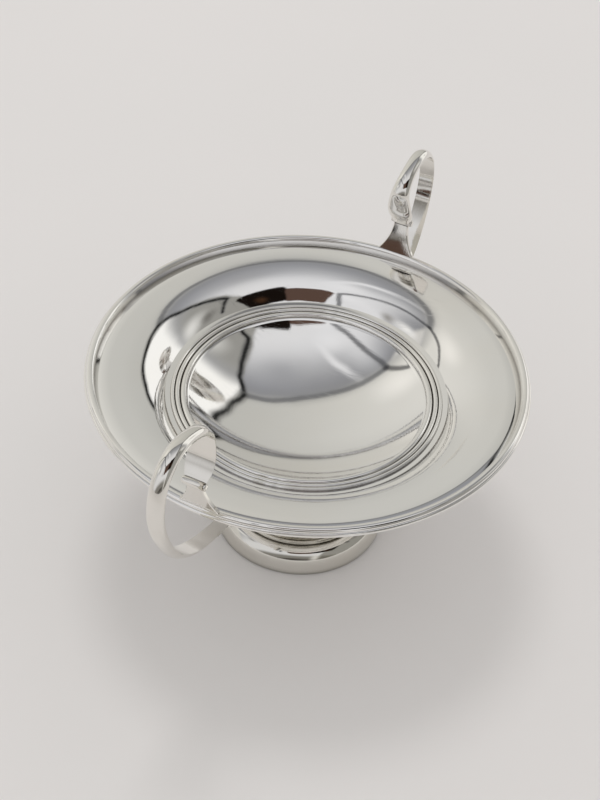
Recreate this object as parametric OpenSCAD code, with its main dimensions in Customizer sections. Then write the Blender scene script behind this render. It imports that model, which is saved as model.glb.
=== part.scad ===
// Footed two-handled silver dish: a spun bowl with a flared brim on a short
// collar and a spreading foot, with two strap handles that loop over the rim.
// Millimetres, +Z up. The origin is the centre of the circle the foot rests on,
// and the handles lie along the X axis.

/* [Overall] */
// Height from the table to the top of the rim wire
rim_height = 73; // [66:0.5:88]
// Outer radius of the rim wire
rim_radius = 75; // [66:0.5:90]

/* [Bowl] */
// Thickness of the silver sheet in the bowl
bowl_sheet = 1.2; // [0.8:0.1:1.6]
// Radius of the mouth of the central well
well_radius = 41; // [34:0.2:44]
// Depth of the well below its mouth
well_depth = 15; // [14.5:0.5:19]
// Width of the shelf from the well's mouth to the flare
shelf_width = 7.4; // [6.6:0.2:9]
// Height that the shelf climbs from the well to the flare
shelf_rise = 1.6; // [0.6:0.1:2.4]
// Width of the nearly level brim, from the sheet's edge inward
brim_width = 11.7; // [8:0.1:13]
// Slope of the flare where it leaves the shelf, in degrees
flare_slope = 50; // [42:1:58]
// Slope where the flare turns into the brim, in degrees
brim_slope = 14; // [10:1:20]
// Slope of the brim at the sheet's edge, in degrees
edge_slope = 6; // [2:1:9]

/* [Rim wire] */
// Radius of the main half-round of the rim wire
rim_bead = 1.35; // [1:0.05:1.6]
// Radius of the thin bead that wraps the sheet's edge
lip_bead = 0.8; // [0.6:0.05:1]
// Height of the rim wire above the sheet's edge
wire_rise = 1.6; // [1.3:0.1:2]

/* [Reeded ring] */
// Radius of the innermost reed
reed_inner = 1.15; // [0.9:0.05:1.3]
// Radius of the middle reed
reed_middle = 0.85; // [0.6:0.05:1]
// Radius of the outermost reed
reed_outer = 0.65; // [0.5:0.05:0.8]

/* [Foot] */
// Outer radius of the foot
foot_radius = 31.2; // [26:0.2:38]
// Height of the half-round base moulding
moulding_height = 9.7; // [7:0.1:12]
// Width of the base moulding, seen from above
moulding_width = 4.8; // [4:0.1:6]
// Wall of the base moulding
moulding_wall = 1.8; // [1.4:0.1:2.4]
// Radius of the small bead above the base moulding
foot_bead = 0.8; // [0.5:0.05:1.1]
// Thickness of the sheet in the foot
foot_sheet = 1.2; // [0.8:0.1:1.6]
// Outer radius at the top of the foot
neck_radius = 7.6; // [6:0.1:10]

/* [Collar] */
// Height of the turned collar between foot and bowl, on the axis
collar_height = 6.7; // [5:0.1:9]
// Radius of the collar where it cups the bowl
collar_radius = 12; // [9:0.2:15]
// Radius of the bead round the foot of the collar
collar_bead = 1.5; // [1.1:0.05:1.7]

/* [Handles] */
// How far the handle reaches out past the rim
handle_reach = 22; // [16:0.5:28]
// How far the handle's top stands above the rim
handle_rise = 34; // [29:0.5:42]
// Width of the strap on its outer side
strap_width = 6; // [4.5:0.1:7.5]
// Thickness of the strap at its crown
strap_crown = 2.2; // [1.6:0.1:3]
// Diameter of the soldered pad at the strap's lower end
pad_diameter = 7; // [6:0.2:9]
// Thickness of that pad
pad_thickness = 1.2; // [0.8:0.1:2]
// Angle from the axis at which the pad sits under the bowl, in degrees
pad_angle = 36; // [34:1:38]
// Radius of the rolled tip at the strap's upper end
scroll_radius = 1.4; // [1.1:0.1:1.8]
// Length of the rolled tip
scroll_length = 8.2; // [7:0.2:10]
// Height of the rolled tip's centre above the rim
scroll_height = 12; // [10:0.2:14.5]
// Width of the rim bracket where it stands on the rim wire
bracket_foot = 13.6; // [11:0.2:17]
// Width of the rim bracket under the rolled tip
bracket_top = 5.4; // [4:0.2:7]
// Thickness of the rim bracket
bracket_sheet = 1.6; // [1.2:0.1:2.2]

/* [Hidden] */
$fn = 64;
silver = [0.80, 0.80, 0.79];
bright_silver = [0.88, 0.88, 0.87];
warm_silver = [0.74, 0.73, 0.70];
clearance = 0.05;
arc_step = 3;
strap_rings = 60;
strap_sides = 12;

// --- Bowl curves -------------------------------------------------------
// The sheet's upper face is a spherical well, a sloping shelf, a convex flare
// and a nearly level brim. An arc is given by its centre, its radius and the
// slopes at its two ends.
sheet_edge_r = rim_radius - 1;
sheet_edge_z = rim_height - wire_rise;
shelf_end_r = well_radius + shelf_width;
brim_start_r = sheet_edge_r - brim_width;
brim_arc_r = brim_width / (sin(brim_slope) - sin(edge_slope));
brim_start_z = sheet_edge_z - brim_arc_r * (cos(edge_slope) - cos(brim_slope));
flare_arc_r = (brim_start_r - shelf_end_r) / (sin(flare_slope) - sin(brim_slope));
shelf_end_z = brim_start_z - flare_arc_r * (cos(brim_slope) - cos(flare_slope));
well_mouth_z = shelf_end_z - shelf_rise;
well_ball_r = (well_radius * well_radius + well_depth * well_depth) / (2 * well_depth);
well_slope = asin(well_radius / well_ball_r);
well_centre = [0, well_mouth_z - well_depth + well_ball_r];
flare_centre = [shelf_end_r + flare_arc_r * sin(flare_slope),
                shelf_end_z - flare_arc_r * cos(flare_slope)];
brim_centre = [brim_start_r + brim_arc_r * sin(brim_slope),
               brim_start_z - brim_arc_r * cos(brim_slope)];
bowl_under_z = well_mouth_z - well_depth - bowl_sheet;

function steps(a, b) = max(2, ceil(abs(b - a) / arc_step));
function hollow_arc(c, r, a, b) =
    [for (i = [0:steps(a, b)]) let (s = a + (b - a) * i / steps(a, b))
        [c[0] + r * sin(s), c[1] - r * cos(s)]];
function round_arc(c, r, a, b) =
    [for (i = [0:steps(a, b)]) let (s = a + (b - a) * i / steps(a, b))
        [c[0] - r * sin(s), c[1] + r * cos(s)]];
function reversed(list) = [for (i = [len(list) - 1:-1:0]) list[i]];

// One face of the sheet, at a depth below the upper face
function bowl_face(depth) = concat(
    hollow_arc(well_centre, well_ball_r + depth, 0, well_slope),
    round_arc(flare_centre, flare_arc_r - depth, flare_slope, brim_slope),
    round_arc(brim_centre, brim_arc_r - depth, brim_slope - arc_step / 2, edge_slope));

module bowl_section() {
    polygon(concat(bowl_face(0), reversed(bowl_face(bowl_sheet))));
}

// Everything above the sheet's under face, used to seat what touches it
module bowl_envelope_section() {
    polygon(concat(bowl_face(bowl_sheet),
                   [[sheet_edge_r, rim_height + 9], [0, rim_height + 9]]));
}

module bowl() {
    color(bright_silver)
        rotate_extrude()
            bowl_section();
}

// --- Applied mouldings -------------------------------------------------
wire_inset = 0.7;
rim_bead_r = rim_radius - wire_inset - rim_bead;
module rim_wire_section() {
    difference() {
        union() {
            translate([rim_bead_r, rim_height - rim_bead])
                circle(rim_bead);
            translate([rim_radius - lip_bead, sheet_edge_z - bowl_sheet / 3])
                circle(lip_bead);
            translate([rim_bead_r, sheet_edge_z - bowl_sheet / 2])
                square([rim_bead, wire_rise / 2 + bowl_sheet / 2]);
        }
        bowl_section();
        translate([0, rim_height - 9])
            square([rim_bead_r, 9 - wire_rise - bowl_sheet]);
    }
}

module rim_wire() {
    color(silver)
        rotate_extrude()
            rim_wire_section();
}

// The shelf's height at a radius
function shelf_z(r) = well_mouth_z + shelf_rise * (r - well_radius) / shelf_width;
reed_gap = 0.12;
ring_end_r = well_radius + 2 * (reed_inner + reed_middle + reed_outer + reed_gap);
reed_places = [
    [well_radius + reed_inner, reed_inner],
    [well_radius + 2 * reed_inner + reed_gap + reed_middle, reed_middle],
    [ring_end_r - reed_outer, reed_outer]];
reed_lift = 0.3;

module reeded_ring() {
    color(silver)
        rotate_extrude()
            difference() {
                union() {
                    for (reed = reed_places)
                        translate([reed[0], shelf_z(reed[0]) + reed_lift])
                            circle(reed[1]);
                    polygon([[well_radius + reed_inner, shelf_z(well_radius) - reed_lift],
                             [ring_end_r - reed_outer, shelf_z(ring_end_r) - reed_lift],
                             [ring_end_r - reed_outer, shelf_z(ring_end_r) + reed_lift],
                             [well_radius + reed_inner, shelf_z(well_radius) + reed_lift]]);
                }
                bowl_section();
                bowl_shadow_section();
            }
}

// Everything below the shelf, so that no crumb of a reed is left under it
module bowl_shadow_section() {
    polygon([[0, 0], [shelf_end_r + 4, 0],
             [shelf_end_r + bowl_sheet / 2, shelf_end_z - bowl_sheet / 2],
             [well_radius + bowl_sheet / 2, well_mouth_z - bowl_sheet / 2]]);
}

// --- Foot --------------------------------------------------------------
moulding_base_z = 2;
moulding_r = foot_radius - moulding_width;
ledge_r = moulding_r - 0.5;
foot_top_z = bowl_under_z - collar_height;
trumpet_r = ledge_r - foot_bead - 0.5;
trumpet_z = moulding_height + 2 * foot_bead;

function moulding_curve(inset) =
    let (start = asin(-moulding_base_z / (moulding_height - moulding_base_z - inset)))
    [for (i = [0:24]) let (a = start + (90 - start) * i / 24)
        [moulding_r + (moulding_width - inset) * cos(a),
         moulding_base_z + (moulding_height - moulding_base_z - inset) * sin(a)]];

module foot_moulding() {
    color(silver)
        rotate_extrude()
            polygon(concat(moulding_curve(0),
                           [[moulding_r - 2, moulding_height],
                            [moulding_r - 2, moulding_height - moulding_wall]],
                           reversed(moulding_curve(moulding_wall))));
}

function trumpet(depth) =
    [for (i = [0:24]) let (a = 90 * i / 24)
        [trumpet_r - (trumpet_r - neck_radius + depth) * sin(a),
         foot_top_z - (foot_top_z - trumpet_z + depth) * cos(a)]];

module foot() {
    color(bright_silver)
        rotate_extrude() {
            polygon(concat([[ledge_r - foot_bead / 2, moulding_height]],
                           trumpet(0),
                           reversed(trumpet(foot_sheet)),
                           [[trumpet_r - foot_sheet, moulding_height]]));
            translate([ledge_r - foot_bead, moulding_height + foot_bead])
                circle(foot_bead);
        }
}

// --- Collar ------------------------------------------------------------
collar_waist = neck_radius - 0.4;
module collar() {
    rise = collar_height + bowl_sheet;
    flare = collar_radius - collar_waist;
    start_z = foot_top_z + 2 * collar_bead;
    color(silver)
        rotate_extrude()
            difference() {
                union() {
                    polygon(concat([[0, foot_top_z], [collar_waist, foot_top_z]],
                        [for (i = [0:10]) let (a = 90 * i / 10)
                            [collar_waist + flare * (1 - cos(a)),
                             start_z + (rise + 1 - 2 * collar_bead) * sin(a)]],
                        [[0, foot_top_z + rise + 1]]));
                    translate([collar_waist, foot_top_z + collar_bead])
                        circle(collar_bead);
                }
                bowl_envelope_section();
            }
}

// --- Handles -----------------------------------------------------------
// The strap follows a smooth curve in the XZ plane. It leaves its pad at right
// angles to the bowl, swings out under the brim, rises past the rim, turns
// over and comes down, as a widening leaf, to its rolled tip.
pad_out = well_ball_r + bowl_sheet + pad_thickness;
pad_normal = [sin(pad_angle), -cos(pad_angle)];
strap_root = well_centre + (pad_out + clearance) * pad_normal;
scroll_x = rim_radius + 1;
scroll_z = rim_height + scroll_height;
reach_x = rim_radius + handle_reach;
top_z = rim_height + handle_rise;
scroll_in = [-0.42, 0.9075];
strap_end = [scroll_x, scroll_z] + (scroll_radius + clearance) * scroll_in;
strap_route = [
    strap_root,
    strap_root + [4.8, -3.4],
    strap_root + [12.6, -3.6],
    [rim_radius - 15.6, rim_height - 21.5],
    [rim_radius + 0.2, rim_height - 15.7],
    [reach_x - 9.6, rim_height - 6.5],
    [reach_x - 2.4, rim_height + 6.5],
    [reach_x, rim_height + 18.5],
    [reach_x - 2.8, top_z - 5.2],
    [reach_x - 10.6, top_z],
    [rim_radius + 2, top_z - 1.6],
    [rim_radius - 4.2, top_z - 6.2],
    [rim_radius - 3.7, scroll_z + 9.2],
    [rim_radius - 1.8, scroll_z + 4.9],
    strap_end];
// Width of the strap at even steps along the route, as shares of its full width
width_shares = [0.62, 0.62, 0.66, 0.78, 0.95, 1, 1, 0.96, 0.92, 0.9, 0.9, 1.12, 1.5, 1.56, 1.26];

// Catmull-Rom value of a list of numbers or points at t, from 0 to 1
function at(list, i) = list[max(0, min(len(list) - 1, i))];
function blend(a, b, c, d, u) = b + 0.5 * u * (c - a
    + u * (2 * a - 5 * b + 4 * c - d + u * (3 * (b - c) + d - a)));
function along(list, t) =
    let (s = t * (len(list) - 1), i = min(len(list) - 2, floor(s)))
    blend(i == 0 ? 2 * list[0] - list[1] : list[i - 1], list[i], list[i + 1],
          i == len(list) - 2 ? 2 * list[i + 1] - list[i] : list[i + 2], s - i);
function unit(v) = v / norm(v);
function heading(t) =
    t == 0 ? pad_normal
    : t == 1 ? -scroll_in
    : unit(along(strap_route, min(1, t + 0.004)) - along(strap_route, max(0, t - 0.004)));

// A D-shaped ring: flat on the inside of the loop and crowned on the outside
function strap_ring(t) =
    let (p = along(strap_route, t), h = heading(t), w = strap_width * along(width_shares, t))
    [for (i = [0:strap_sides - 1]) let (a = 180 * i / (strap_sides - 1), up = strap_crown * sin(a))
        [p[0] + h[1] * up, w / 2 * cos(a), p[1] - h[0] * up]];

module strap() {
    rings = [for (i = [0:strap_rings]) strap_ring(i / strap_rings)];
    n = strap_sides;
    polyhedron(
        points = [for (ring = rings) each ring],
        faces = concat(
            [[for (i = [0:n - 1]) i]],
            [for (r = [0:strap_rings - 1], i = [0:n - 1])
                [r * n + i, (r + 1) * n + i, (r + 1) * n + (i + 1) % n, r * n + (i + 1) % n]],
            [[for (i = [n - 1:-1:0]) strap_rings * n + i]]));
}

module root_pad() {
    difference() {
        translate([well_centre[0], 0, well_centre[1]])
            rotate([0, 180 - pad_angle, 0])
                translate([0, 0, well_ball_r])
                    cylinder(h = pad_out - well_ball_r, d = pad_diameter, $fn = 128);
        rotate_extrude($fn = 360)
            bowl_envelope_section();
    }
}

// A rolled tip, a little fuller in its middle
module scroll() {
    bulge = 0.25;
    arc_r = (scroll_length * scroll_length / 4 + bulge * bulge) / (2 * bulge);
    translate([scroll_x, 0, scroll_z])
        rotate([90, 0, 0])
            rotate_extrude($fn = 128)
                intersection() {
                    translate([scroll_radius - arc_r, 0])
                        circle(arc_r, $fn = 720);
                    translate([0, -scroll_length / 2])
                        square([scroll_radius, scroll_length]);
                }
}

module rim_bracket() {
    side = (bracket_foot - bracket_top) / 2;
    tall = scroll_height;
    arc_r = (tall * tall + side * side) / (2 * side);
    foot_x = rim_bead_r;
    difference() {
        intersection() {
            translate([0, bracket_foot / 2, 0])
                rotate([90, 0, 0])
                    linear_extrude(bracket_foot)
                        polygon([[foot_x - bracket_sheet / 2, rim_height - wire_rise / 2],
                                 [foot_x + bracket_sheet / 2, rim_height - wire_rise / 2],
                                 [scroll_x + bracket_sheet / 2, scroll_z],
                                 [scroll_x - bracket_sheet / 2, scroll_z]]);
            translate([rim_radius - 20, 0, 0])
                rotate([90, 0, 90])
                    linear_extrude(40)
                        difference() {
                            translate([-bracket_foot / 2, rim_height - 2])
                                square([bracket_foot, tall + 2]);
                            for (y = [-1, 1])
                                translate([y * (bracket_top / 2 + arc_r), rim_height + tall])
                                    circle(arc_r);
                        }
        }
        translate([scroll_x, 0, scroll_z])
            rotate([90, 0, 0])
                cylinder(r = scroll_radius + clearance, h = 2 * scroll_length, center = true);
        rotate_extrude()
            rim_wire_section();
        rotate_extrude()
            bowl_section();
    }
}

module left_side() {
    mirror([1, 0, 0])
        children();
}

module left_handle() {
    color(silver)
        left_side()
            strap();
}

module right_handle() {
    color(silver)
        strap();
}

module left_scroll() {
    color(bright_silver)
        left_side()
            scroll();
}

module right_scroll() {
    color(bright_silver)
        scroll();
}

module left_rim_bracket() {
    color(warm_silver)
        left_side()
            rim_bracket();
}

module right_rim_bracket() {
    color(warm_silver)
        rim_bracket();
}

module left_root_pad() {
    color(warm_silver)
        left_side()
            root_pad();
}

module right_root_pad() {
    color(warm_silver)
        root_pad();
}

bowl();
rim_wire();
reeded_ring();
foot();
foot_moulding();
collar();
left_handle();
right_handle();
left_scroll();
right_scroll();
left_rim_bracket();
right_rim_bracket();
left_root_pad();
right_root_pad();
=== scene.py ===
import math

import bmesh
import bpy
from mathutils import Matrix, Vector


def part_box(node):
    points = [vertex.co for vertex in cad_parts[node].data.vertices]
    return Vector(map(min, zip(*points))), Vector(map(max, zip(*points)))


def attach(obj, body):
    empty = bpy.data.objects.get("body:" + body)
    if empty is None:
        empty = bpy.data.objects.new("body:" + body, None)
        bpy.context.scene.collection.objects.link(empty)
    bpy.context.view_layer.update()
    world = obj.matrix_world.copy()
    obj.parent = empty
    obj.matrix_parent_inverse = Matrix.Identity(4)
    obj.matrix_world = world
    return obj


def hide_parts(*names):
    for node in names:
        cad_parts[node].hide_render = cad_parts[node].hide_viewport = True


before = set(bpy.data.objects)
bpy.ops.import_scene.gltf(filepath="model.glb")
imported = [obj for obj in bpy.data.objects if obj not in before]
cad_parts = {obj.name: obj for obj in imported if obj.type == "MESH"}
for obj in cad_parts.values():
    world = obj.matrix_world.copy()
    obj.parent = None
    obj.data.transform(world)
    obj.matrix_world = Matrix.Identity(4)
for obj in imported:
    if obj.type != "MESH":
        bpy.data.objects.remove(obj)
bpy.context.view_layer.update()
scene = bpy.context.scene
MM = 0.001

# ---------------------------------------------------------------- sizes, mm
# The same values as the CAD source. The rim's size is read from the frame.
rim_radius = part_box("rim_wire")[1].x / MM
rim_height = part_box("rim_wire")[1].z / MM
bowl_sheet, well_radius, well_depth = 1.2, 41.0, 15.0
shelf_width, shelf_rise = 7.4, 1.6
brim_width, flare_slope, brim_slope, edge_slope = 11.7, 50.0, 14.0, 6.0
rim_bead, lip_bead, wire_rise, wire_inset = 1.35, 0.8, 1.6, 0.7
reeds = (1.15, 0.85, 0.65)
reed_lift, reed_gap = 0.3, 0.12
foot_radius, moulding_height, moulding_width, moulding_wall = 31.2, 9.7, 4.8, 1.8
foot_bead, foot_sheet, neck_radius = 0.8, 1.2, 7.6
collar_height, collar_radius, collar_bead = 6.7, 12.0, 1.5
handle_reach, handle_rise, strap_width, strap_crown = 22.0, 34.0, 6.0, 2.2
pad_diameter, pad_thickness, pad_angle = 7.0, 1.2, 36.0
scroll_radius, scroll_length, scroll_height = 1.4, 8.2, 12.0
bracket_foot, bracket_top, bracket_sheet = 13.6, 5.4, 1.6
clearance = 0.05


def sin(a):
    return math.sin(math.radians(a))


def cos(a):
    return math.cos(math.radians(a))


sheet_edge_r, sheet_edge_z = rim_radius - 1, rim_height - wire_rise
shelf_end_r = well_radius + shelf_width
brim_start_r = sheet_edge_r - brim_width
brim_arc_r = brim_width / (sin(brim_slope) - sin(edge_slope))
brim_start_z = sheet_edge_z - brim_arc_r * (cos(edge_slope) - cos(brim_slope))
flare_arc_r = (brim_start_r - shelf_end_r) / (sin(flare_slope) - sin(brim_slope))
shelf_end_z = brim_start_z - flare_arc_r * (cos(brim_slope) - cos(flare_slope))
well_mouth_z = shelf_end_z - shelf_rise
well_ball_r = (well_radius ** 2 + well_depth ** 2) / (2 * well_depth)
well_slope = math.degrees(math.asin(well_radius / well_ball_r))
well_centre = (0, well_mouth_z - well_depth + well_ball_r)
flare_centre = (shelf_end_r + flare_arc_r * sin(flare_slope),
                shelf_end_z - flare_arc_r * cos(flare_slope))
brim_centre = (brim_start_r + brim_arc_r * sin(brim_slope),
               brim_start_z - brim_arc_r * cos(brim_slope))
# Just inside the wire the brim rolls over and then banks down under it. This edge
# is in the visual model only: the CAD's brim stays on its plain arc.
roll_start_r, roll_end_r, roll_end_slope = 66.8, 70.0, 15.0
bank_end_r, bank_end_slope = 71.7, 19.0
tail_inset, tail_drop = 0.1, 1.3
wire_root_drop = 1.85
roll_slope = math.degrees(math.asin(sin(brim_slope) - (roll_start_r - brim_start_r) / brim_arc_r))
roll_arc_r = (roll_end_r - roll_start_r) / (sin(roll_slope) + sin(roll_end_slope))
roll_centre = (roll_start_r + roll_arc_r * sin(roll_slope),
               brim_centre[1] + (brim_arc_r - roll_arc_r) * cos(roll_slope))
bank_arc_r = (bank_end_r - roll_end_r) / (sin(bank_end_slope) - sin(roll_end_slope))
bank_centre = (roll_centre[0] + (roll_arc_r - bank_arc_r) * sin(roll_end_slope),
               roll_centre[1] + (roll_arc_r - bank_arc_r) * cos(roll_end_slope))
bowl_under_z = well_mouth_z - well_depth - bowl_sheet
rim_bead_r = rim_radius - wire_inset - rim_bead
foot_top_z = bowl_under_z - collar_height

WORDS = {-1: "left", 1: "right"}
BOWL_STEPS, WIRE_STEPS, FOOT_STEPS, COLLAR_STEPS = 256, 320, 192, 128


# ---------------------------------------------------------------- mesh code
def finish_mesh(bm, name, sharp=32):
    """Turns a bmesh in millimetres into a smooth-shaded object whose creases stay crisp."""
    bmesh.ops.remove_doubles(bm, verts=bm.verts, dist=1e-5)
    bmesh.ops.recalc_face_normals(bm, faces=bm.faces)
    limit = math.radians(sharp)
    for e in bm.edges:
        if len(e.link_faces) == 2 and e.calc_face_angle(0) > limit:
            e.smooth = False
    for f in bm.faces:
        f.smooth = True
    bmesh.ops.scale(bm, vec=(MM, MM, MM), verts=bm.verts)
    mesh = bpy.data.meshes.new(name)
    bm.to_mesh(mesh)
    bm.free()
    o = bpy.data.objects.new(name, mesh)
    scene.collection.objects.link(o)
    return o


def bridge(bm, a, b):
    """Joins two rings of vertices. A ring that repeats one vertex is a pole."""
    for i in range(len(a)):
        j = (i + 1) % len(a)
        corners = []
        for v in (a[i], a[j], b[j], b[i]):
            if v not in corners:
                corners.append(v)
        if len(corners) > 2:
            bm.faces.new(corners)


def close_loft(bm, rings):
    """Joins open rings end to end and caps both ends."""
    for a, b in zip(rings, rings[1:]):
        bridge(bm, a, b)
    bm.faces.new(rings[0])
    bm.faces.new(rings[-1][::-1])


def lathe(name, outline, steps):
    """Spins a closed outline of (r, z) points round Z."""
    bm = bmesh.new()
    rings = []
    for r, z in outline:
        if r < 1e-6:
            rings.append([bm.verts.new((0, 0, z))] * steps)
        else:
            rings.append([bm.verts.new((r * cos(360 * i / steps), r * sin(360 * i / steps), z))
                          for i in range(steps)])
    for a, b in zip(rings, rings[1:] + rings[:1]):
        bridge(bm, a, b)
    return finish_mesh(bm, name)


def arc(c, radius, start, end, step=4.0):
    """Points of a circle from angle start to angle end, in degrees from +r towards +z."""
    n = max(2, math.ceil(abs(end - start) / step))
    return [(c[0] + radius * cos(start + (end - start) * i / n),
             c[1] + radius * sin(start + (end - start) * i / n)) for i in range(n + 1)]


def bowl_face(depth):
    """The sheet's face at a depth below the upper one, from the axis to the sheet's edge."""
    well = arc(well_centre, well_ball_r + depth, -90, well_slope - 90, 0.8)
    flare = arc(flare_centre, flare_arc_r - depth, 90 + flare_slope, 90 + brim_slope, 0.8)
    brim = arc(brim_centre, brim_arc_r - depth, 90 + brim_slope - 0.4, 90 + roll_slope, 0.4)
    roll = arc(roll_centre, roll_arc_r - depth, 89 + roll_slope, 90 - roll_end_slope, 1.0)
    bank = arc(bank_centre, bank_arc_r - depth, 89.6 - roll_end_slope, 90 - bank_end_slope, 0.5)
    tail = [(sheet_edge_r - tail_inset, sheet_edge_z - tail_drop - depth / 2)]
    return [(max(0.0, r), z) for r, z in well] + flare + brim + roll + bank + tail


def shelf_z(r):
    return well_mouth_z + shelf_rise * (r - well_radius) / shelf_width


def make_bowl():
    return lathe("bowl_sheet", bowl_face(0) + bowl_face(bowl_sheet)[::-1], BOWL_STEPS)


def make_rim_wire():
    bead = (rim_bead_r, rim_height - rim_bead)
    lip = (rim_radius - lip_bead, sheet_edge_z - bowl_sheet / 3)
    line = [(rim_bead_r - rim_bead, sheet_edge_z - wire_root_drop)] + arc(bead, rim_bead, 184, 6, 5)
    line += [(lip[0] + 0.08, lip[1] + lip_bead * 0.98)]
    line += arc(lip, lip_bead, 76, -92, 6)
    line += [(sheet_edge_r, sheet_edge_z - bowl_sheet)]
    return lathe("rim_wire_beads", line, WIRE_STEPS)


def make_reeded_ring():
    """Reeds side by side, each a bead that shows a little over half of itself."""
    line = [(well_radius + reeds[0], shelf_z(well_radius + reeds[0]))]
    r = well_radius
    for size in reeds:
        c = (r + size, shelf_z(r + size) + reed_lift)
        dip = math.degrees(math.asin(reed_lift / size)) * 0.9
        start = 180 + (dip if size == reeds[0] else -8)
        line += arc(c, size, start, -dip if size == reeds[-1] else 8, 6)
        r += 2 * size + reed_gap
    line += [(r - reed_gap - reeds[-1], shelf_z(r - reed_gap - reeds[-1]))]
    return lathe("reeded_ring_beads", line, BOWL_STEPS)


def make_foot_moulding():
    """The ovolo is widest at a height of base, and its back reaches a little way in."""
    base, back_width, points = 2.0, 2.0, 40
    inner = foot_radius - moulding_width

    def curve(inset):
        tall = moulding_height - base - inset
        start = math.degrees(math.asin(-base / tall))
        turns = [start + (90 - start) * i / points for i in range(points + 1)]
        return [(inner + (moulding_width - inset) * cos(a), base + tall * sin(a)) for a in turns]
    back = [(inner - back_width, moulding_height), (inner - back_width, moulding_height - moulding_wall)]
    return lathe("foot_ovolo", curve(0) + back + curve(moulding_wall)[::-1], FOOT_STEPS)


def make_foot():
    """A bead on the moulding's ledge, then a quarter ellipse up to the neck."""
    ledge, points = 0.5, 60
    ledge_r = foot_radius - moulding_width - ledge
    trumpet_r = ledge_r - foot_bead - ledge
    trumpet_z = moulding_height + 2 * foot_bead

    def trumpet(depth):
        return [(trumpet_r - (trumpet_r - neck_radius + depth) * sin(90 * i / points),
                 foot_top_z - (foot_top_z - trumpet_z + depth) * cos(90 * i / points))
                for i in range(points + 1)]
    bead = arc((ledge_r - foot_bead, moulding_height + foot_bead), foot_bead, -88, 128, 8)
    return lathe("foot_trumpet", bead + trumpet(0) + trumpet(foot_sheet)[::-1]
                 + [(trumpet_r - foot_sheet, moulding_height)], FOOT_STEPS)


def make_collar():
    """A bead on the foot's neck, then a flare that fits the bowl's underside."""
    waist, points = neck_radius - 0.4, 20
    rise, flare = collar_height + bowl_sheet, collar_radius - waist
    start_z = foot_top_z + 2 * collar_bead
    under = well_ball_r + bowl_sheet + 0.02
    line = [(0.0, foot_top_z), (waist, foot_top_z)]
    line += arc((waist, foot_top_z + collar_bead), collar_bead, -84, 84, 8)
    for i in range(points + 1):
        r = waist + flare * (1 - cos(90 * i / points))
        z = start_z + (rise + 1 - 2 * collar_bead) * sin(90 * i / points)
        if z < well_centre[1] - math.sqrt(under ** 2 - r ** 2):
            line.append((r, z))
    edge = math.degrees(math.asin(line[-1][0] / under)) + 0.6
    line += arc(well_centre, under, edge - 90, -90, 1.5)
    return lathe("collar_turning", [(max(0.0, r), z) for r, z in line], COLLAR_STEPS)


# The handle's route, in the XZ plane, and the strap's width along it as shares of
# strap_width. Both are the CAD's, sampled more finely.
pad_out = well_ball_r + bowl_sheet + pad_thickness
pad_normal = Vector((sin(pad_angle), -cos(pad_angle)))
strap_root = Vector(well_centre) + (pad_out + clearance) * pad_normal
scroll_x, scroll_z = rim_radius + 1, rim_height + scroll_height
reach_x, top_z = rim_radius + handle_reach, rim_height + handle_rise
scroll_in = Vector((-0.42, 0.9075))
strap_end = Vector((scroll_x, scroll_z)) + (scroll_radius + clearance) * scroll_in
route = [strap_root, strap_root + Vector((4.8, -3.4)), strap_root + Vector((12.6, -3.6))]
route += [Vector(p) for p in (
    (rim_radius - 15.6, rim_height - 21.5), (rim_radius + 0.2, rim_height - 15.7),
    (reach_x - 9.6, rim_height - 6.5), (reach_x - 2.4, rim_height + 6.5),
    (reach_x, rim_height + 18.5), (reach_x - 2.8, top_z - 5.2), (reach_x - 10.6, top_z),
    (rim_radius + 2, top_z - 1.6), (rim_radius - 4.2, top_z - 6.2),
    (rim_radius - 3.7, scroll_z + 9.2), (rim_radius - 1.8, scroll_z + 4.9))]
route.append(strap_end)
shares = [0.62, 0.62, 0.66, 0.78, 0.95, 1, 1, 0.96, 0.92, 0.9, 0.9, 1.12, 1.5, 1.56, 1.26]


def along(values, t):
    """Catmull-Rom value of a list at t, from 0 to 1."""
    s = t * (len(values) - 1)
    i = min(len(values) - 2, int(s))
    u = s - i
    b, c = values[i], values[i + 1]
    a = values[i - 1] if i else 2 * b - c
    d = values[i + 2] if i + 2 < len(values) else 2 * c - b
    return b + 0.5 * u * (c - a + u * (2 * a - 5 * b + 4 * c - d + u * (3 * (b - c) + d - a)))


def heading(t, near=0.004):
    """The route's direction at t. At its ends it is square to the pad and the scroll."""
    if t <= 0:
        return pad_normal.copy()
    if t >= 1:
        return -scroll_in
    return (along(route, min(1, t + near)) - along(route, max(0, t - near))).normalized()


def make_strap(side):
    """A D-section strap, flat inside the loop and crowned outside."""
    bm = bmesh.new()
    rings = []
    count, crown_steps, flat_steps = 260, 22, 6
    for k in range(count + 1):
        t = k / count
        p, h, w = along(route, t), heading(t), strap_width * along(shares, t)
        ring = []
        for i in range(crown_steps + 1):
            a = 180 * i / crown_steps
            y, up = w / 2 * cos(a), strap_crown * sin(a)
            ring.append(bm.verts.new((side * (p.x + h.y * up), y, p.y - h.x * up)))
        for i in range(1, flat_steps):
            y = w / 2 * (-1 + 2 * i / flat_steps)
            ring.append(bm.verts.new((side * p.x, y, p.y)))
        rings.append(ring)
    close_loft(bm, rings)
    return finish_mesh(bm, WORDS[side] + "_strap", 50)


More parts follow.
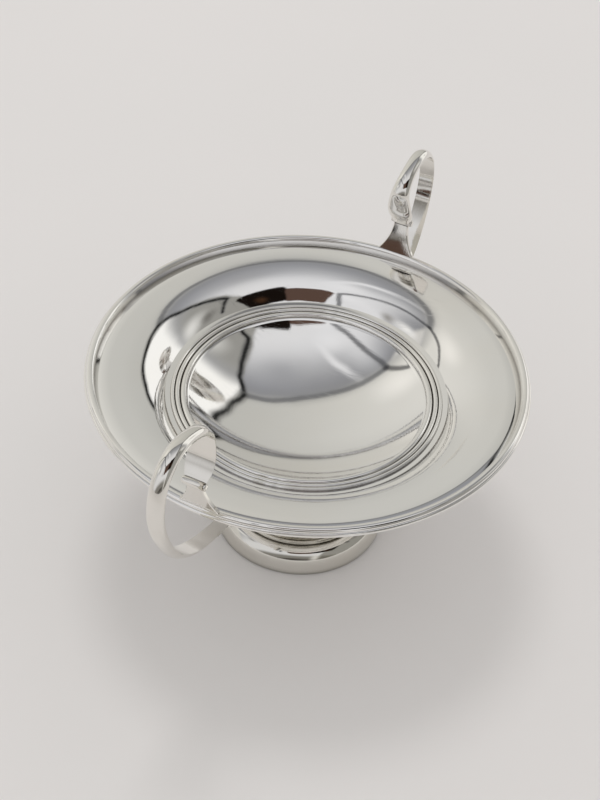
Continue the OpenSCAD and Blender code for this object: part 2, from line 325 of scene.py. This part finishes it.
def make_scroll(side):
    """A rolled scroll lying along Y, a little fuller in its middle, with rounded ends."""
    bulge, fillet, steps = 0.25, 0.4, 64
    half = scroll_length / 2
    end_r = scroll_radius - bulge - fillet
    bm = bmesh.new()
    end = [(0.0, half)] + [(end_r + fillet * sin(a), half - fillet + fillet * cos(a))
                           for a in (0, 22, 45, 68, 90)]
    outline = [(r, -y) for r, y in end]
    outline += [(scroll_radius - bulge * (y / half) ** 2, y)
                for y in [half * (-0.8 + 0.1 * i) for i in range(17)]]
    outline += end[::-1]
    rings = []
    for r, y in outline:
        if r > 0:
            turns = [360 * i / steps for i in range(steps)]
            rings.append([bm.verts.new((side * (scroll_x + r * cos(a)), y, scroll_z + r * sin(a)))
                          for a in turns])
        else:
            rings.append([bm.verts.new((side * scroll_x, y, scroll_z))] * steps)
    for a, b in zip(rings, rings[1:]):
        bridge(bm, a, b)
    return finish_mesh(bm, WORDS[side] + "_scroll_barrel", 60)


def make_bracket(side):
    """A tongue with hollow sides that stands on the rim wire and carries the scroll."""
    flare = (bracket_foot - bracket_top) / 2
    tall = scroll_height
    radius = (tall ** 2 + flare ** 2) / (2 * flare)
    thick, edge, rows = bracket_sheet / 2, 0.3, 24
    sunk, tucked = 0.7, 0.3
    low, high = rim_height - sunk, scroll_z - scroll_radius + tucked
    bm = bmesh.new()
    rings = []
    for k in range(rows + 1):
        z = low + (high - low) * k / rows
        up = max(0.0, z - rim_height)
        half = bracket_top / 2 + radius - math.sqrt(radius ** 2 - (tall - up) ** 2)
        lean = (z - rim_height + wire_rise / 2) / (tall + wire_rise / 2)
        x = rim_bead_r + (scroll_x - rim_bead_r) * lean
        ring = []
        for sx, sy in ((1, 1), (-1, 1), (-1, -1), (1, -1)):
            pair = [(x + sx * thick, sy * (half - edge)), (x + sx * (thick - edge), sy * half)]
            for px, py in pair if sx * sy > 0 else pair[::-1]:
                ring.append(bm.verts.new((side * px, py, z)))
        rings.append(ring)
    close_loft(bm, rings)
    return finish_mesh(bm, WORDS[side] + "_bracket_tongue", 30)


def make_pad(side):
    """The round soldered pad where the strap meets the bowl's underside."""
    radius, fillet, steps = pad_diameter / 2, 0.35, 48
    normal = Vector((pad_normal.x, 0, pad_normal.y))
    across = Vector((0, 1, 0))
    third = normal.cross(across)
    centre = Vector((well_centre[0], 0, well_centre[1]))
    bm = bmesh.new()
    inner = well_ball_r + bowl_sheet
    levels = [(radius, inner + 0.02), (radius, pad_out - fillet),
              (radius - fillet * 0.3, pad_out - fillet * 0.3), (radius - fillet, pad_out)]
    rings = []
    for r, h in levels:
        ring = []
        for i in range(steps):
            a = 360 * i / steps
            base = centre + (across * cos(a) + third * sin(a)) * r
            drop = inner - math.sqrt(inner ** 2 - r ** 2) if h < inner + 0.1 else 0
            v = base + normal * (h - drop)
            ring.append(bm.verts.new((side * v.x, v.y, v.z)))
        rings.append(ring)
    close_loft(bm, rings)
    return finish_mesh(bm, WORDS[side] + "_pad_disc", 40)


# ---------------------------------------------------------------- node helpers
class Graph:
    """A few short calls for building a node tree."""

    def __init__(self, tree):
        self.t = tree
        tree.nodes.clear()

    def put(self, socket, value):
        if isinstance(value, bpy.types.NodeSocket):
            self.t.links.new(value, socket)
        else:
            socket.default_value = value

    def node(self, kind, inputs=(), **props):
        n = self.t.nodes.new(kind)
        for key, value in props.items():
            setattr(n, key, value)
        for key, value in dict(inputs).items():
            self.put(n.inputs[key], value)
        return n

    def math(self, op, a, b=0.0, clamp=False):
        return self.node("ShaderNodeMath", {0: a, 1: b}, operation=op, use_clamp=clamp).outputs[0]

    def vec(self, op, a, b=(0, 0, 0), out=0, scale=None):
        n = self.node("ShaderNodeVectorMath", {0: a}, operation=op)
        if scale is not None:
            self.put(n.inputs["Scale"], scale)
        elif op not in ("LENGTH", "NORMALIZE"):
            self.put(n.inputs[1], b)
        return n.outputs[out]

    def smooth(self, value, low, high, a=0.0, b=1.0):
        n = self.node("ShaderNodeMapRange", {"Value": value, "From Min": low, "From Max": high,
                                             "To Min": a, "To Max": b}, interpolation_type="SMOOTHSTEP")
        return n.outputs["Result"]

    def mix(self, factor, a, b, blend="MIX"):
        n = self.node("ShaderNodeMix", data_type="RGBA", blend_type=blend)
        self.put(n.inputs["Factor"], factor)
        self.put(n.inputs["A"], a)
        self.put(n.inputs["B"], b)
        return n.outputs["Result"]

    def noise(self, vector, scale, detail=2.0, rough=0.5):
        n = self.node("ShaderNodeTexNoise", {"Vector": vector, "Scale": scale, "Detail": detail,
                                             "Roughness": rough})
        return n.outputs["Fac"]


def rgb(r, g, b):
    """A display colour, 0 to 255, as linear light."""
    def one(c):
        c /= 255
        return c / 12.92 if c <= 0.04045 else ((c + 0.055) / 1.055) ** 2.4
    return (one(r), one(g), one(b), 1)


# ---------------------------------------------------------------- silver
def silver(name, tone, rough, scratch, marks, soil=0.0, shade_reach=0.0011):
    """Polished silver: fine polishing marks, faint smears and a slight unevenness of the sheet.

    marks is "rings" for spun pieces and "lines" for straps. With soil, the smears are
    brown, and painted shade lies wherever the surface is shut in to within the last
    argument's distance in metres; in fine grooves the silver is tarnished there as well.
    """
    warmer = (0.975, 0.96, 0.935, 1)
    # The second colour is the painted shade of shut-in places; in fine grooves the silver is tarnished there
    # too.
    brown, tarnish_and_shade = (0.45, 0.39, 0.31, 1), (0.10, 0.085, 0.07, 1)
    grain_depth, dent_depth = 0.00002, 0.00009
    mat = bpy.data.materials.new(name)
    mat.use_nodes = True
    g = Graph(mat.node_tree)
    place = g.node("ShaderNodeTexCoord").outputs["Object"]
    sep = g.node("ShaderNodeSeparateXYZ", {0: place}).outputs
    if marks == "rings":
        squares = g.math("ADD", g.math("MULTIPLY", sep[0], sep[0]), g.math("MULTIPLY", sep[1], sep[1]))
        radius = g.math("SQRT", squares)
        angle = g.math("ARCTAN2", sep[1], sep[0])
        fine = g.node("ShaderNodeCombineXYZ", {0: g.math("MULTIPLY", radius, 3200.0),
                                               1: g.math("MULTIPLY", angle, 2.2),
                                               2: g.math("MULTIPLY", sep[2], 900.0)}).outputs[0]
    else:
        fine = g.vec("MULTIPLY", place, (500.0, 2600.0, 500.0))
    grain = g.noise(fine, 1.0, 2.0)
    cross = g.noise(g.vec("MULTIPLY", place, (900.0, 2400.0, 900.0)), 1.0, 3.0, 0.6)
    smear = g.noise(place, 42.0, 4.0, 0.6)
    cloud = g.noise(place, 14.0, 3.0, 0.55)
    spots = g.noise(place, 700.0, 2.0)
    wobble = g.noise(place, 26.0, 1.0)
    r = g.math("ADD", rough, g.math("MULTIPLY", g.smooth(smear, 0.45, 0.75), rough * 0.9))
    r = g.math("ADD", r, g.math("MULTIPLY", g.smooth(grain, 0.55, 0.8), rough * 0.7))
    r = g.math("ADD", r, g.math("MULTIPLY", g.smooth(spots, 0.66, 0.74), 0.05))
    wiped = g.noise(g.vec("MULTIPLY", place, (1900.0, 55.0, 300.0)), 1.0, 2.0)
    wiped = g.math("MULTIPLY", g.smooth(wiped, 0.56, 0.72), g.smooth(cloud, 0.46, 0.62))
    r = g.math("ADD", r, g.math("MULTIPLY", wiped, 0.16))
    colour = g.mix(g.smooth(cloud, 0.35, 0.75), tone, tuple(c * k for c, k in zip(tone, warmer)))
    if soil:
        colour = g.mix(g.math("MULTIPLY", g.smooth(smear, 0.5, 0.8), soil), colour, brown)
        # Painted shade: darker wherever other surfaces are near, in grooves, between parts, under the bowl
        # and next to the floor.
        open_air = g.node("ShaderNodeAmbientOcclusion", {"Distance": shade_reach}, samples=6).outputs["AO"]
        colour = g.mix(g.smooth(open_air, 0.72, 0.25, 0.0, 0.8), colour, tarnish_and_shade)
    height = g.math("ADD", g.math("MULTIPLY", grain, scratch), g.math("MULTIPLY", cross, scratch * 0.8))
    bump = g.node("ShaderNodeBump", {"Strength": 0.35, "Distance": grain_depth,
                                     "Height": height}).outputs[0]
    bump = g.node("ShaderNodeBump", {"Strength": 1.0, "Distance": dent_depth,
                                     "Height": wobble, "Normal": bump}).outputs[0]
    shader = g.node("ShaderNodeBsdfPrincipled", {"Base Color": colour, "Metallic": 1.0,
                                                 "Roughness": r, "Normal": bump})
    out = g.node("ShaderNodeOutputMaterial")
    g.t.links.new(shader.outputs[0], out.inputs[0])
    return mat


sheet_mat = silver("silver_sheet", (0.925, 0.92, 0.91, 1), 0.04, 0.5, "rings")
moulding_mat = silver("silver_mouldings", (0.92, 0.91, 0.89, 1), 0.05, 0.5, "rings", 0.12, 0.0034)
# Painted shade: the foot under the bowl is a darker, warmer copy of the silver, and its shut-in shade reaches
# 5 cm, so it darkens all under the bowl.
foot_shaded_mat = silver("silver_foot_shaded", (0.66, 0.635, 0.57, 1), 0.06, 0.5, "rings", 0.4, 0.05)
# Painted shade: the foot's ovolo is a darker copy of the silver, and its shut-in shade darkens its bottom
# next to the floor.
base_shaded_mat = silver("silver_base_shaded", (0.80, 0.785, 0.74, 1), 0.05, 0.5, "rings", 0.3, 0.006)
# Painted shade: the handles are a slightly darker copy of the silver.
handle_shaded_mat = silver("silver_handles_shaded", (0.86, 0.845, 0.81, 1), 0.045, 0.6, "lines", 0.25, 0.006)


def place_piece(piece, nodes, mat):
    piece.data.materials.append(mat)
    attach(piece, "root")
    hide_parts(*nodes)


place_piece(make_bowl(), ["bowl"], sheet_mat)
place_piece(make_rim_wire(), ["rim_wire"], moulding_mat)
place_piece(make_reeded_ring(), ["reeded_ring"], moulding_mat)
place_piece(make_foot(), ["foot"], foot_shaded_mat)
place_piece(make_foot_moulding(), ["foot_moulding"], base_shaded_mat)
place_piece(make_collar(), ["collar"], moulding_mat)
for side, word in WORDS.items():
    place_piece(make_strap(side), [word + "_handle"], handle_shaded_mat)
    place_piece(make_scroll(side), [word + "_scroll"], handle_shaded_mat)
    place_piece(make_bracket(side), [word + "_rim_bracket"], handle_shaded_mat)
    place_piece(make_pad(side), [word + "_root_pad"], handle_shaded_mat)

# ---------------------------------------------------------------- camera
# The eye's place is in metres. The lens and the sensor are in millimetres.
HEADING, PITCH, ROLL = 24.275, 43.0, 3.69
EYE = (-0.2999, -0.1329, 0.3620)
LENS, SENSOR = 58.5, 36
ahead = Vector((cos(HEADING) * cos(PITCH), sin(HEADING) * cos(PITCH), -sin(PITCH)))
right = ahead.cross(Vector((0, 0, 1))).normalized()
up = right.cross(ahead)
image_x = cos(ROLL) * right + sin(ROLL) * up
image_y = -sin(ROLL) * right + cos(ROLL) * up
cam = bpy.data.objects.new("camera", bpy.data.cameras.new("camera"))
scene.collection.objects.link(cam)
scene.camera = cam
cam.matrix_world = Matrix((
    (image_x.x, image_y.x, -ahead.x, EYE[0]),
    (image_x.y, image_y.y, -ahead.y, EYE[1]),
    (image_x.z, image_y.z, -ahead.z, EYE[2]),
    (0, 0, 0, 1)))
cam.data.lens = LENS
cam.data.sensor_width = SENSOR
cam.data.clip_start = 0.01
cam.data.clip_end = 50

# ---------------------------------------------------------------- floor
floor_mesh = bpy.data.meshes.new("floor")
half_floor = 4.0
floor_mesh.from_pydata([(-half_floor, -half_floor, 0), (half_floor, -half_floor, 0),
                        (half_floor, half_floor, 0), (-half_floor, half_floor, 0)], [], [(0, 1, 2, 3)])
floor = bpy.data.objects.new("floor", floor_mesh)
scene.collection.objects.link(floor)
floor.location.z = -0.0002
floor_mat = bpy.data.materials.new("paper_floor")
floor_mat.use_nodes = True
g = Graph(floor_mat.node_tree)
spot = g.node("ShaderNodeTexCoord").outputs["Object"]
tint = g.mix(g.smooth(g.noise(spot, 3.0, 3.0), 0.3, 0.7), (0.80, 0.785, 0.775, 1), (0.82, 0.80, 0.79, 1))
shader = g.node("ShaderNodeBsdfPrincipled", {"Base Color": tint, "Roughness": 0.7, "Specular IOR Level": 0.2})
g.t.links.new(shader.outputs[0], g.node("ShaderNodeOutputMaterial").inputs[0])
floor_mesh.materials.append(floor_mat)

# ---------------------------------------------------------------- studio
# The light tent round the dish. A direction is turned so that +V points away
# from the camera, and laid out flat: its distance from (0, 0) is the angle
# from straight up, in degrees. The places below are in those degrees, and were
# set to suit the reflections in the photograph.
TENT_TURN = 66.1
TENT_STRENGTH, FLOOR_FILL = 1.09, 0.745
SOFT_WHITE = (1.0, 0.985, 0.97)
world = bpy.data.worlds.new("tent")
scene.world = world
world.use_nodes = True
g = Graph(world.node_tree)


def turn_flat(vector, angle):
    """Turns a vector round Z."""
    n = g.node("ShaderNodeVectorRotate", {"Vector": vector, "Axis": (0, 0, 1),
                                          "Angle": math.radians(angle)}, rotation_type="AXIS_ANGLE")
    return n.outputs[0]


way = g.node("ShaderNodeTexCoord").outputs["Generated"]
turned = turn_flat(way, TENT_TURN)
wx, wy, wz = g.node("ShaderNodeSeparateXYZ", {0: turned}).outputs
flat_len = g.math("SQRT", g.math("ADD", g.math("MULTIPLY", wx, wx),
                                 g.math("ADD", g.math("MULTIPLY", wy, wy), 1e-6)))
tilt = g.math("MULTIPLY", g.math("ARCCOSINE", wz), math.degrees(1))
u = g.math("MULTIPLY", g.math("DIVIDE", wx, flat_len), tilt)
v = g.math("MULTIPLY", g.math("DIVIDE", wy, flat_len), tilt)
spread = g.node("ShaderNodeCombineXYZ", {0: u, 1: v, 2: 0.0}).outputs[0]
# A slow sway, of 2 degrees at most each way, keeps the cloth's edges from being straight.
sway = g.node("ShaderNodeTexNoise", {"Vector": spread, "Scale": 0.055, "Detail": 1.0}).outputs["Color"]
sway = g.vec("SCALE", g.vec("SUBTRACT", sway, (0.5, 0.5, 0.5)), scale=4.0)
spread = g.vec("MULTIPLY", g.vec("ADD", spread, sway), (1, 1, 0))
su, sv, _ = g.node("ShaderNodeSeparateXYZ", {0: spread}).outputs


def blob(centre, size, turn=0.0):
    """1 at a soft oval's centre, 0 well outside it."""
    d = g.vec("SUBTRACT", spread, (centre[0], centre[1], 0))
    if turn:
        d = turn_flat(d, -turn)
    d = g.vec("DIVIDE", d, (size[0], size[1], 1))
    return g.smooth(g.vec("LENGTH", d, out=1), 1.0, 0.0)


def seam(points, width):
    """How far a direction is from a broken line, in widths of that line."""
    best = None
    for a, b in zip(points, points[1:]):
        run = (b[0] - a[0], b[1] - a[1], 0)
        size = run[0] ** 2 + run[1] ** 2
        off = g.vec("SUBTRACT", spread, (a[0], a[1], 0))
        t = g.math("DIVIDE", g.vec("DOT_PRODUCT", off, run, out=1), size, clamp=True)
        d = g.vec("LENGTH", g.vec("SUBTRACT", off, g.vec("SCALE", run, scale=t)), out=1)
        best = d if best is None else g.math("MINIMUM", best, d)
    return g.math("DIVIDE", best, width)


def panel(centre, size, corner, turn, blur=0.7):
    """1 inside a rectangle with rounded corners, 0 outside it. size is half its sides."""
    d = g.vec("SUBTRACT", spread, (centre[0], centre[1], 0))
    d = turn_flat(d, -turn)
    d = g.vec("SUBTRACT", g.vec("ABSOLUTE", d), (size[0] - corner, size[1] - corner, 0))
    d = g.vec("LENGTH", g.vec("MAXIMUM", d, (0, 0, 0)), out=1)
    return g.smooth(d, corner + blur, corner - blur)


def lay(tone, mask, strength=1.0):
    """Lays a tone over the tent's colour, where the mask is."""
    global colour
    if strength != 1.0:
        mask = g.math("MULTIPLY", mask, strength)
    colour = g.mix(mask, colour, tone)


# The tent's edges, each a broken line from (u, v) to (u, v).
corner = (30, 34)
roof_edge = [(-42, 12), (-28, 17), (-12, 20), (2, 24), (15, 30), corner]
left_edge = [(-42, 12), (-37, 1), (-26, -15), (-13, -27), (-18, -46)]
right_edge = [corner, (35, 22), (36, 5), (36, -7), (52, -13)]
wall_edge = [corner, (34, 48), (36, 64), (35, 82), (30, 104)]
side_edge = [(-42, 12), (-60, 24), (-76, 33)]

# The far wall, lighter on the left.
colour = g.mix(g.smooth(su, -70, 40), rgb(214, 212, 206), rgb(184, 183, 178))
lay(rgb(176, 175, 170), g.smooth(sv, 55, 92), 0.5)
lay(rgb(236, 233, 227), blob((-47, 27), (20, 17)), 0.8)

# The roof, greyer and bluer, with its lit patches.
height = g.math("SUBTRACT", sv, g.math("ADD", 23.0, g.math("MULTIPLY", su, 0.3)))
is_roof = g.smooth(height, 2.5, -2.5)
roof = g.mix(g.smooth(height, -2, -44), rgb(138, 139, 143), rgb(216, 216, 218))
lay(roof, is_roof)
lay(rgb(140, 140, 140), g.smooth(g.math("ABSOLUTE", height), 9.0, 0.0), 0.5)
lay(rgb(246, 246, 248), blob((-30, -6), (15, 25), 20), 0.35)
lay(rgb(234, 234, 236), blob((-13, -14), (17, 11)), 0.5)
lay(rgb(250, 250, 252), blob((-17, 2), (24, 4), -50), 0.6)
lay(rgb(236, 236, 238), blob((-8, -30), (30, 10)), 0.45)
lay(rgb(120, 121, 126), blob((14, 6), (20, 14), 25), 0.3)

# The right side, bright at the back and dark in the middle.
right_start = g.math("ADD", 33.0, g.smooth(sv, 20, 64, 0.0, 3.0))
right_side = g.smooth(g.math("SUBTRACT", su, right_start), -1.5, 1.5)
lay(rgb(244, 243, 240), g.math("MULTIPLY", right_side, g.smooth(sv, 20, 34)))
lay(rgb(147, 146, 142), g.math("MULTIPLY", right_side, g.smooth(sv, 32, 12)))
lay(rgb(236, 235, 232), blob((60, 12), (22, 12), 25), 0.7)
lay(rgb(98, 96, 92), blob((54, -2), (12, 8), 15), 0.7)
lay(rgb(96, 80, 64), blob((57, 48), (4, 12), -8), 0.9)

# The left side.
left_side = g.smooth(g.math("ADD", su, g.math("MULTIPLY", sv, -0.85)), -50, -56)
lay(rgb(206, 204, 200), g.math("MULTIPLY", left_side, is_roof), 0.9)
lay(rgb(120, 116, 110), blob((-46, -22), (10, 9), 30), 0.7)
lay(rgb(245, 244, 242), blob((-56, -10), (10, 14), 30), 0.8)

# The seams along the edges. The right ones are black inside a soft grey.
for points, width, tone, strength in (
        (roof_edge, 3.0, rgb(92, 93, 96), 0.75),
        (left_edge, 2.2, rgb(74, 75, 78), 0.8),
        (side_edge, 2.2, rgb(60, 60, 62), 0.8),
        (right_edge, 3.0, rgb(84, 84, 84), 0.8),
        (right_edge, 1.4, rgb(10, 10, 11), 0.95),
        (wall_edge, 3.6, rgb(96, 96, 94), 0.75),
        (wall_edge, 1.6, rgb(8, 8, 9), 0.95)):
    lay(tone, g.smooth(seam(points, width), 1.0, 0.25), strength)

# The tent's front, which is mostly dark.
front = g.smooth(sv, -54, -70)
lay(rgb(104, 100, 92), front, 0.85)
lay(rgb(44, 39, 34), g.math("MULTIPLY", front, blob((-8, -84), (60, 9), 6)), 0.85)
lay(rgb(236, 234, 230), blob((30, -72), (12, 26), 10), 0.7)

# The slot above it, part brown and part black.
lay(rgb(84, 66, 58), panel((4, -36), (14, 10.5), 3, 6))
lay(rgb(20, 15, 12), panel((28, -29), (13.5, 11.5), 3, 14))
lay(rgb(74, 50, 34), blob((31, -31), (6, 7)), 0.7)

# Below the horizon all is plain.
lay(rgb(190, 187, 183), g.smooth(wz, -0.01, -0.12))

# The silver mirrors the tent, while the floor and the camera meet plain tones.
studio = g.node("ShaderNodeBackground", {"Color": colour, "Strength": TENT_STRENGTH}).outputs[0]
plain = g.node("ShaderNodeBackground", {"Color": rgb(214, 211, 208), "Strength": 1.0}).outputs[0]
soft = g.node("ShaderNodeBackground", {"Color": SOFT_WHITE + (1,), "Strength": FLOOR_FILL}).outputs[0]
light_path = g.node("ShaderNodeLightPath").outputs
mixer = g.node("ShaderNodeMixShader", {0: light_path["Is Diffuse Ray"], 1: studio, 2: soft})
mixer = g.node("ShaderNodeMixShader", {0: light_path["Is Camera Ray"], 1: mixer.outputs[0], 2: plain})
g.t.links.new(mixer.outputs[0], g.node("ShaderNodeOutputWorld").inputs[0])


def lamp(name, azimuth, elevation, distance, size, power, tint):
    """A round soft lamp aimed at the origin. It shades the floor and leaves no highlight."""
    data = bpy.data.lights.new(name, "AREA")
    data.shape = "DISK"
    data.size = size
    data.energy = power
    data.color = tint
    o = bpy.data.objects.new(name, data)
    scene.collection.objects.link(o)
    way_out = Vector((cos(azimuth) * cos(elevation), sin(azimuth) * cos(elevation), sin(elevation)))
    o.location = way_out * distance
    o.rotation_mode = "QUATERNION"
    o.rotation_quaternion = way_out.to_track_quat("Z", "Y")
    o.visible_glossy = False
    o.visible_camera = False


lamp("far_softbox", 104 - TENT_TURN, 70, 1.6, 0.5, 3.8, SOFT_WHITE)

scene.view_settings.view_transform = "Standard"
